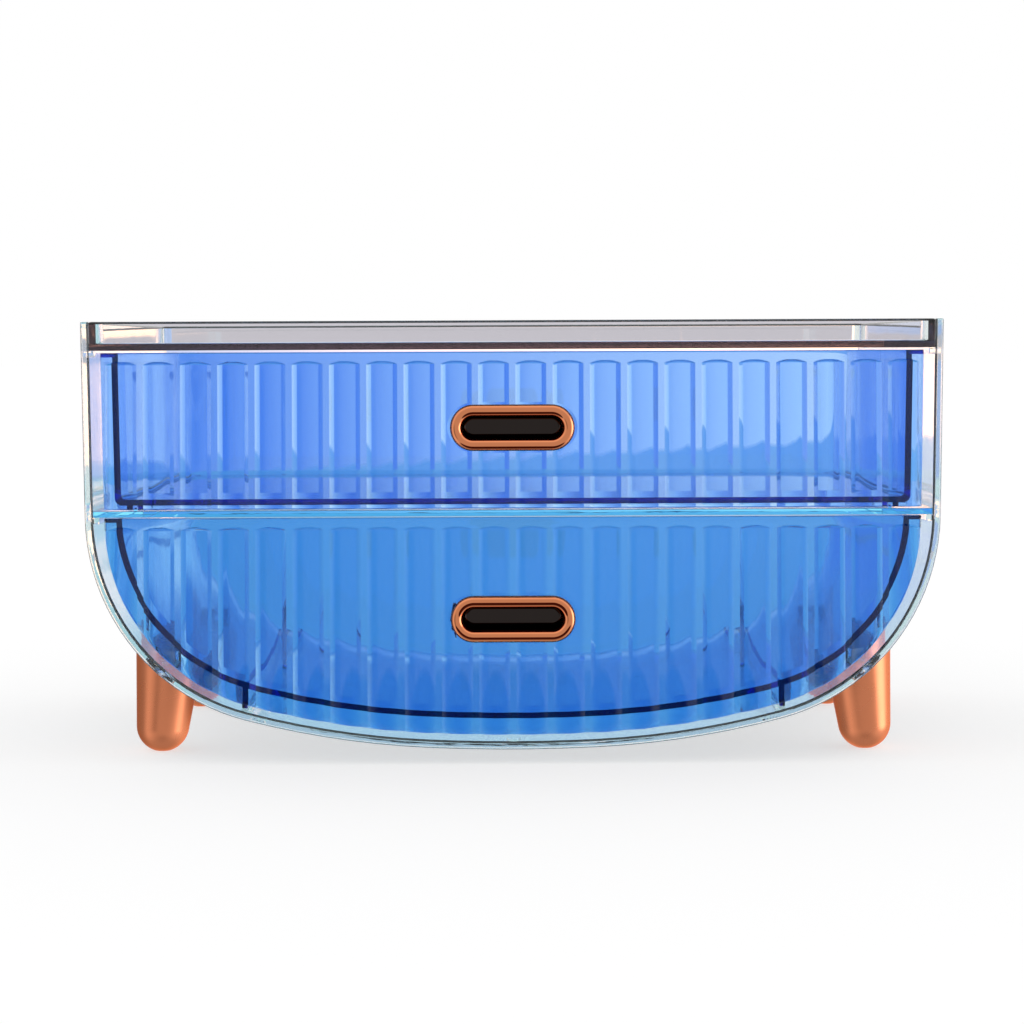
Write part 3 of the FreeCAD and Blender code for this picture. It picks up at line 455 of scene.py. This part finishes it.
def prism(name, section, front, rear, material):
    """A solid with one section, given as (across, up) points, between two depths."""
    bm = bmesh.new()
    capped_rings(bm, [[(x, y, z) for x, z in section] for y in (front, rear)])
    return new_object(name, bm, material)


def round_over(radius):
    """Pairs of inset and depth round a quarter circle, from the flat to the side."""
    pairs = []
    for step in range(ROUND_STEPS + 1):
        angle = math.pi / 2 * step / ROUND_STEPS
        pairs.append((radius * (1 - math.sin(angle)), radius * (1 - math.cos(angle))))
    return pairs


def rounded_rectangle(half, front, rear, radius):
    """Points of a rectangle with round corners, seen from above."""
    points = []
    corners = ((half, rear), (-half, rear), (-half, front), (half, front))
    for turn, (across, back) in enumerate(corners):
        centre_x = across - math.copysign(radius, across)
        centre_y = back - radius if back == rear else back + radius
        for step in range(ROUND_STEPS + 1):
            angle = math.pi / 2 * (turn + step / ROUND_STEPS)
            points.append((centre_x + radius * math.cos(angle),
                           centre_y + radius * math.sin(angle)))
    return points


def stadium(height, level):
    """Slot shape as long as the handle's straight run asks, as (across, up) points."""
    radius = height / 2
    run = (HANDLE_LENGTH - HANDLE_HEIGHT) / 2
    points = []
    for side in (1, -1):
        for step in range(STADIUM_STEPS + 1):
            angle = math.pi * (step / STADIUM_STEPS - side / 2)
            points.append((side * run + radius * math.cos(angle), level + radius * math.sin(angle)))
    return points


def make_rear_panel(material):
    """Clear back wall with rounded rear edges."""
    low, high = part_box("rear_panel")
    places = [(0.0, low.y + BOND_GAP)]
    places += [(inset, high.y - depth) for inset, depth in reversed(round_over(EDGE_ROUND))]
    rings = []
    for inset, back in places:
        path = outline.whole(inset, high.z - inset)
        rings.append([(point.x, back, point.y) for point in path])
    bm = bmesh.new()
    capped_rings(bm, rings)
    panel = new_object("rear_panel_clear", bm, material)
    finish_piece(panel, "housing", "rear_panel")


def make_shelf(material):
    """Clear shelf with its edges broken and a rail for each pair of glide ribs."""
    low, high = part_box("shelf")
    top = low.z + SHELF_THICKNESS
    bottom = low.z + BOND_GAP
    rear = high.y - BOND_GAP
    upper = outline.side(top, SHELL_WALL + BOND_GAP)
    lower = outline.side(bottom, SHELL_WALL + BOND_GAP)
    section = [(-lower, bottom), (lower, bottom), (upper, top), (-upper, top)]
    bm = bmesh.new()
    capped_rings(bm, [[(x, y, z) for x, z in section] for y in (low.y, rear)])
    bmesh.ops.bevel(bm, geom=bm.edges[:], offset=SMALL_ROUND, segments=BEVEL_STEPS,
                    profile=BEVEL_PROFILE, affect="EDGES")
    shelf = new_object("shelf_clear", bm, material)
    middle = outline.side(top, TRAY_INSET) - RAIL_INSET
    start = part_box("upper_drawer_front")[1].y + RAIL_GAP
    for side in (-1, 1):
        left, right = side * middle - RAIL_WIDTH / 2, side * middle + RAIL_WIDTH / 2
        section = [(left, bottom + SMALL_ROUND), (right, bottom + SMALL_ROUND),
                   (right, high.z), (left, high.z)]
        rail = prism("rail", section, start, rear - SMALL_ROUND, material)
        boolean(shelf, rail, "UNION")
    finish_piece(shelf, "housing", "shelf")


def make_top_tray(material, rim_shade_material):
    """Clear open tray with soft inner corners, and a rounded rim with a material of its own,
    darkened as painted shade.
    """
    low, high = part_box("top_tray")
    floor = low.z + RIM_FLOOR
    bottom = low.z + BOND_GAP
    rear = high.y - BOND_GAP
    rings = []

    def ring(level, inset, radius):
        half = outline.side(level, SHELL_WALL + BOND_GAP) - inset
        path = rounded_rectangle(half, low.y + inset, rear - inset, radius)
        rings.append([(x, y, level) for x, y in path])

    for inset, depth in round_over(SMALL_ROUND):
        ring(bottom + depth, inset, SMALL_ROUND)
    for inset, depth in reversed(round_over(RIM_ROUND)):
        ring(high.z - depth, inset, SMALL_ROUND)
    for inset, depth in round_over(RIM_ROUND):
        ring(high.z - depth, RIM_WALL - inset, RIM_CORNER)
    for inset, depth in reversed(round_over(2 * SMALL_ROUND)):
        ring(floor + depth, RIM_WALL + inset, RIM_CORNER)
    bm = bmesh.new()
    capped_rings(bm, rings)
    tray = new_object("top_tray_clear", bm, material)
    rim_shade_slot = len(tray.data.materials)
    tray.data.materials.append(rim_shade_material)
    # Faces of the rim's round get the darkened material, a painted dark line along the rim
    for face in tray.data.polygons:
        if face.center.z > high.z - RIM_ROUND:
            face.material_index = rim_shade_slot
    finish_piece(tray, "housing", "top_tray")


def flute_arc():
    """Radius and half chord of a flute's outer arc."""
    half_chord = (FLUTE_PITCH - FLUTE_VALLEY) / 2
    return (half_chord ** 2 + FLUTE_DEPTH ** 2) / (2 * FLUTE_DEPTH), half_chord


def hollow_arc():
    """Radius and half chord of the hollow behind a flute, round the same middle."""
    radius = flute_arc()[0] - FLUTE_WALL
    return radius, math.sqrt((2 * radius - HOLLOW_DEPTH) * HOLLOW_DEPTH)


def flute_rise(across):
    """How far a flute stands from the plate: a convex arc between flat valleys."""
    run = FLUTE_COUNT * FLUTE_PITCH / 2
    radius, half_chord = flute_arc()
    offset = abs((across + run) % FLUTE_PITCH - FLUTE_PITCH / 2)
    if abs(across) > run or offset > half_chord:
        return 0.0
    return math.sqrt(radius ** 2 - offset ** 2) - (radius - FLUTE_DEPTH)


def lower_edge(path, across):
    """Height of a front's lower edge at a place across."""
    for left, right in zip(path, path[1:]):
        if left.x <= across <= right.x:
            share = (across - left.x) / max(right.x - left.x, LEAST_RUN)
            return left.y + (right.y - left.y) * share
    return path[0].y


def all_hollows(low, back, flute_top, material):
    """One tool with a hollow for each flute, its top a quarter dome like the flute's."""
    radius, half_chord = hollow_arc()
    bm = bmesh.new()
    for flute in range(FLUTE_COUNT):
        middle = (flute - (FLUTE_COUNT - 1) / 2) * FLUTE_PITCH
        rings = []
        for step in range(HOLLOW_STEPS + 1):
            offset = half_chord * (2 * step / HOLLOW_STEPS - 1)
            rise = math.sqrt(radius ** 2 - offset ** 2) - (radius - HOLLOW_DEPTH)
            rise = max(rise, HOLLOW_EDGE_DEPTH)
            ring = [(back + OVERRUN, low), (back - rise, low)]
            ring.append((back - rise, flute_top - SMALL_ROUND))
            for turn in range(CAP_STEPS + 1):
                angle = math.pi / 2 * turn / CAP_STEPS
                ring.append((back - rise * math.cos(angle), flute_top + rise * math.sin(angle)))
            ring.append((back + OVERRUN, flute_top + rise))
            rings.append([(middle + offset, y, z) for y, z in ring])
        capped_rings(bm, rings)
    return new_object("hollows", bm, material)


def cut_hollows(front, tray_name, back, flute_top, level, flat_bottom, material):
    """Cut a hollow behind each flute, but not where tray and cup are bonded on."""
    hollows = all_hollows(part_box(tray_name)[0].z, back, flute_top, material)
    inset = TRAY_INSET + TRAY_WALL + LAND
    top = flute_top + PLAIN_BAND
    if flat_bottom:
        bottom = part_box("shelf")[0].z + SHELF_THICKNESS + GLIDE_HEIGHT + TRAY_WALL + LAND
        lower, upper = outline.side(bottom, inset), outline.side(top, inset)
        section = [(-lower, bottom), (lower, bottom), (upper, top), (-upper, top)]
    else:
        section = [(point.x, point.y) for point in outline.whole(inset, top)]
    window = prism("window", section, back - 2 * FLUTE_DEPTH, back + 2 * OVERRUN, material)
    boolean(hollows, window, "INTERSECT")
    land = prism("land", stadium(CUP_LAND_HEIGHT, level), back - 2 * FLUTE_DEPTH,
                 back + 2 * OVERRUN, material)
    boolean(hollows, land, "DIFFERENCE")
    boolean(front, hollows, "DIFFERENCE")


def column_places(path):
    """Places across where a front's columns of points stand, from its middle to its corner."""
    chord = FLUTE_PITCH - FLUTE_VALLEY
    places = {0.0}
    for flute in range(FLUTE_COUNT // 2):
        start = flute * FLUTE_PITCH + FLUTE_VALLEY / 2
        places.update(start + chord * step / FLUTE_STEPS for step in range(FLUTE_STEPS + 1))
    places.update(point.x for point in path)
    return sorted(place for place in places if place < path[-2].x - FRONT_ROUND)


def fluted_plate(name, plate, back, flute_top, flat_bottom, material):
    """Plate of a front: columns of points from the outline up to the top, then mirrored."""
    low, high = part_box(name)
    path = outline.half(FRONT_INSET, high.z, FRONT_DROP)
    if flat_bottom:
        path = [Vector((outline.side(low.z, FRONT_INSET, FRONT_DROP), low.z)), path[-1]]
    setbacks = round_over(FRONT_ROUND)

    def column(across, bottom, rise, side_inset=0.0, side_depth=0.0):
        """One ring: up the face, then down the back."""
        face = [(bottom + inset, depth) for inset, depth in reversed(setbacks)]
        first = bottom + FRONT_ROUND
        face += [(first + (flute_top - first) * row / FRONT_ROWS, 0.0)
                 for row in range(1, FRONT_ROWS)]
        face += [(flute_top + FLUTE_DEPTH * step / CAP_STEPS, 0.0) for step in range(CAP_STEPS + 1)]
        face += [(high.z - inset, depth) for inset, depth in setbacks]
        points = []
        for level, depth in face:
            over = max(0.0, level - flute_top)
            stand = math.sqrt(max(0.0, rise ** 2 - over ** 2))
            x = across(level) - side_inset
            points.append((x, plate - stand + max(depth, side_depth), level))
        points += [(x, back, level) for x, y, level in reversed(points)]
        return points

    def leaning(level):
        """Half the front's width at a level."""
        return outline.side(level, FRONT_INSET, FRONT_DROP)

    rings = []
    for place in column_places(path):
        bottom = low.z if flat_bottom else lower_edge(path, place)
        rings.append(column(lambda level: place, bottom, flute_rise(place)))
    for inset, depth in setbacks:
        bottom = low.z if flat_bottom else path[-2].y
        rings.append(column(leaning, bottom, 0.0, inset, depth))
    mirrored = [[(-x, y, z) for x, y, z in ring] for ring in reversed(rings[1:])]
    bm = bmesh.new()
    capped_rings(bm, mirrored + rings)
    return new_object(name + "_fluted", bm, material)


def make_front(name, body, material, flat_bottom):
    """Fluted drawer front with its handle's seat and slot, and hollows behind the flutes."""
    low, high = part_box(name)
    plate = low.y + FLUTE_DEPTH
    back = low.y + FRONT_THICKNESS - BOND_GAP
    flute_top = high.z - PLAIN_BAND - FLUTE_DEPTH
    front = fluted_plate(name, plate, back, flute_top, flat_bottom, material)
    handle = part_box(name.replace("drawer_front", "handle_bezel"))
    level = (handle[0].z + handle[1].z) / 2
    seat = prism("seat", stadium(HANDLE_HEIGHT - 2 * SEAT_GAP, level), low.y,
                 plate + FLUTE_DEPTH, material)
    boolean(front, seat, "UNION")
    slot = prism("slot", stadium(SLOT_HEIGHT, level), low.y - FLUTE_DEPTH,
                 back + FLUTE_DEPTH, material)
    boolean(front, slot, "DIFFERENCE")
    cut_hollows(front, name.replace("front", "tray"), back, flute_top, level, flat_bottom, material)
    finish_piece(front, body, name, SHARP_EDGE_OF_FRONT)


def facing(tree, place, direction, outer, inner):
    """How far a ray points into a cone round a direction: 0 outside, 1 inside."""
    dot = add_node(tree, "VectorMath", operation="DOT_PRODUCT")
    dot.inputs[1].default_value = Vector(direction).normalized()
    tree.links.new(place, dot.inputs[0])
    ramp = add_node(tree, "MapRange", interpolation_type="SMOOTHSTEP",
                    From_Min=math.cos(math.radians(outer)), From_Max=math.cos(math.radians(inner)))
    tree.links.new(dot.outputs["Value"], ramp.inputs["Value"])
    return ramp.outputs["Result"]


def soften(tree, place, patches):
    """Level of the light from a direction: 1, changed by soft patches."""
    level = WHITE_LEVEL
    for direction, outer, inner, change in patches:
        inside = facing(tree, place, direction, outer, inner)
        level = combine(tree, "ADD", level, combine(tree, "MULTIPLY", inside, change))
    return level


def backdrop(tree, place):
    """Colour of the backdrop behind the box in a direction, as glass shows it."""
    parts = add_node(tree, "SeparateXYZ")
    tree.links.new(place, parts.inputs["Vector"])
    across, up = parts.outputs["X"], parts.outputs["Z"]
    turn = remap(tree, across, RISING, BACKDROP_TURN)
    colour = mix_colour(tree, turn, BACKDROP_LEFT, BACKDROP_RIGHT)
    colour = mix_colour(tree, remap(tree, up, RISING, BACKDROP_RISE), colour, BACKDROP_HIGH)
    strip = combine(tree, "MULTIPLY", remap(tree, up, RISING, BACKDROP_LOW_RISE),
                    remap(tree, up, FALLING, BACKDROP_LOW_END))
    return mix_colour(tree, strip, colour, BACKDROP_LOW)


def make_world():
    """White all round for the eye; for gloss and glass, a studio with a bright right side."""
    world = bpy.data.worlds.new("studio")
    bpy.context.scene.world = world
    world.use_nodes = True
    tree = world.node_tree
    tree.nodes.clear()
    output = add_node(tree, "OutputWorld")
    path = add_node(tree, "LightPath")
    place = add_node(tree, "TexCoord").outputs["Generated"]

    def background(strength, colour=WHITE):
        """A background with a strength and a colour, each a node output or plain."""
        node = add_node(tree, "Background")
        for name, item in (("Strength", strength), ("Color", colour)):
            if isinstance(item, (float, tuple)):
                node.inputs[name].default_value = item
            else:
                tree.links.new(item, node.inputs[name])
        return node.outputs["Background"]

    room = background(soften(tree, place, ROOM))
    behind = background(soften(tree, place, BEHIND), backdrop(tree, place))
    seen = background(DIFFUSE_LEVEL)
    seen = mix_shader(tree, path.outputs["Is Glossy Ray"], seen, room)
    seen = mix_shader(tree, path.outputs["Is Transmission Ray"], seen, behind)
    seen = mix_shader(tree, path.outputs["Is Camera Ray"], seen, background(WHITE_LEVEL))
    tree.links.new(seen, output.inputs["Surface"])


def plain_floor(tree, camera_ray):
    """Matt floor that keeps the box's shadow, and glows for the camera up to near white."""
    matt = add_node(tree, "BsdfDiffuse", Color=FLOOR_COLOUR)
    glow = add_node(tree, "Emission")
    tree.links.new(combine(tree, "MULTIPLY", camera_ray, FLOOR_GLOW), glow.inputs["Strength"])
    both = add_node(tree, "AddShader")
    tree.links.new(matt.outputs["BSDF"], both.inputs[0])
    tree.links.new(glow.outputs["Emission"], both.inputs[1])
    return both.outputs["Shader"]


def table_behind(tree, place):
    """The table as glass shows it: a tinted emission with painted shade, darker near the box, up to
    its oblique far edge.
    """
    parts = add_node(tree, "SeparateXYZ")
    tree.links.new(place, parts.inputs["Vector"])
    across, back = parts.outputs["X"], parts.outputs["Y"]
    slant = combine(tree, "MULTIPLY", across, -TABLE_EDGE_SLOPE)
    beyond = remap(tree, combine(tree, "ADD", back, slant), RISING, TABLE_EDGE)
    depth = combine(tree, "MULTIPLY", back, TABLE_TURN_DEPTH)
    turn = remap(tree, combine(tree, "ADD", across, depth), RISING, TABLE_TURN)
    table = add_node(tree, "Emission")
    tree.links.new(mix_colour(tree, turn, TABLE_SHADED, TABLE_LIT), table.inputs["Color"])
    clear_view = add_node(tree, "BsdfTransparent")
    return mix_shader(tree, beyond, table.outputs["Emission"], clear_view.outputs["BSDF"])


def table_shade(tree, place):
    """Painted shade on the table as metal shows it, under the box and as a dark spot in front, and
    a clear view round them.
    """
    seen = add_node(tree, "BsdfTransparent").outputs["BSDF"]
    for middle, limits, colour in ((UNDER_BOX, UNDER_BOX_REACH, UNDER_BOX_SHADE),
                                   (DARK_SPOT, DARK_SPOT_REACH, DARK_SPOT_SHADE)):
        distance = add_node(tree, "VectorMath", operation="DISTANCE")
        distance.inputs[1].default_value = middle
        tree.links.new(place, distance.inputs[0])
        away = remap(tree, distance.outputs["Value"], RISING, limits)
        zone = add_node(tree, "Emission", Color=colour)
        seen = mix_shader(tree, away, zone.outputs["Emission"], seen)
    return seen


def make_floor():
    """A plain pale floor, which glass and metal see as the studio's table, with painted shade from
    emission.
    """
    bm = bmesh.new()
    bmesh.ops.create_grid(bm, x_segments=1, y_segments=1, size=FLOOR_SIZE / 2)
    material, output = new_material("pale_floor")
    tree = material.node_tree
    path = add_node(tree, "LightPath")
    place = add_node(tree, "NewGeometry").outputs["Position"]
    seen = plain_floor(tree, path.outputs["Is Camera Ray"])
    seen = mix_shader(tree, path.outputs["Is Glossy Ray"], seen, table_shade(tree, place))
    seen = mix_shader(tree, path.outputs["Is Transmission Ray"], seen, table_behind(tree, place))
    tree.links.new(seen, output.inputs["Surface"])
    new_object("floor", bm, material)


def make_camera():
    """The photograph's camera."""
    data = bpy.data.cameras.new("camera")
    data.lens = LENS
    data.sensor_width = SENSOR
    data.shift_y = SHIFT_Y
    camera = bpy.data.objects.new("camera", data)
    bpy.context.scene.collection.objects.link(camera)
    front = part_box("housing_shell")[0].y
    camera.location = Vector((0, front - CAMERA_DISTANCE, CAMERA_HEIGHT))
    camera.rotation_euler = Euler((math.pi / 2, CAMERA_ROLL, 0))
    bpy.context.scene.camera = camera


outline = Outline(*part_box("rear_panel"))

# Materials, and the CAD nodes that get them
clear = plastic("clear_plastic", loss=(1.4, 0.6, 0.3), **CLEAR_FLOW)
shell_plastic = plastic("shell_plastic", loss=(0.8, 0.3, 0.1), **CLEAR_FLOW, haze=0.02)
shelf_plastic = plastic("shelf_plastic", loss=(14.0, 4.0, 0.3), **CLEAR_FLOW)
tray_plastic = plastic("tray_plastic", loss=TOP_TRAY_LOSS, **CLEAR_FLOW)
# Rim: the top tray's plastic with its base colour at 0.08, a painted dark line along the rim
rim_painted_shade = plastic("rim_painted_shade", loss=TOP_TRAY_LOSS, **CLEAR_FLOW, painted_shade_level=0.08)
front_blue = plastic("front_blue", loss=(590.0, 256.0, 1.2), **BLUE_FLOW)
# Lower front: a darker copy of the front's blue, whose extra loss paints the shade that the lower
# drawer sits in
shaded_front_blue = plastic("shaded_front_blue", loss=(745.0, 292.0, 30.0), **BLUE_FLOW)
tray_blue = plastic("tray_blue", loss=(120.0, 90.0, 6.0), **BLUE_FLOW, haze=0.025)
dress(("housing_shell",), shell_plastic)
dress(TRAYS, tray_blue)
dress(BEZELS, plated("rose_gold_chrome", colour=(0.88, 0.31, 0.14), roughness=(0.02, 0.05),
                     grain=700, depth=0.001 * MM, edge=WARM_EDGE))
# Cups: the plating's colour set nearly black, a painted dark reflection in place of the rose gold
dress(CUPS, plated("cup_chrome", colour=(0.035, 0.028, 0.026), roughness=(0.04, 0.10),
                   grain=700, depth=0.002 * MM))
dress(LEGS, plated("rose_gold_satin", colour=(0.85, 0.28, 0.13), roughness=(0.24, 0.32),
                   grain=1500, depth=0.0025 * MM, coat=0.2, edge=WARM_EDGE))
dress(STEEL, plated("screw_steel", colour=(0.55, 0.56, 0.58), roughness=(0.25, 0.40),
                    grain=2000, depth=0.01 * MM))

# Pieces that stand for CAD nodes
make_rear_panel(clear)
make_shelf(shelf_plastic)
make_top_tray(tray_plastic, rim_painted_shade)
make_front("upper_drawer_front", "upper_drawer", front_blue, True)
# The lower front gets the darker copy of the blue, which paints shade
make_front("lower_drawer_front", "lower_drawer", shaded_front_blue, False)

# Studio and camera
scene = bpy.context.scene
scene.view_settings.view_transform = "Standard"
scene.cycles.max_bounces = PLASTIC_BOUNCES
scene.cycles.transmission_bounces = PLASTIC_BOUNCES
scene.cycles.glossy_bounces = GLOSSY_BOUNCES
make_world()
make_floor()
make_camera()
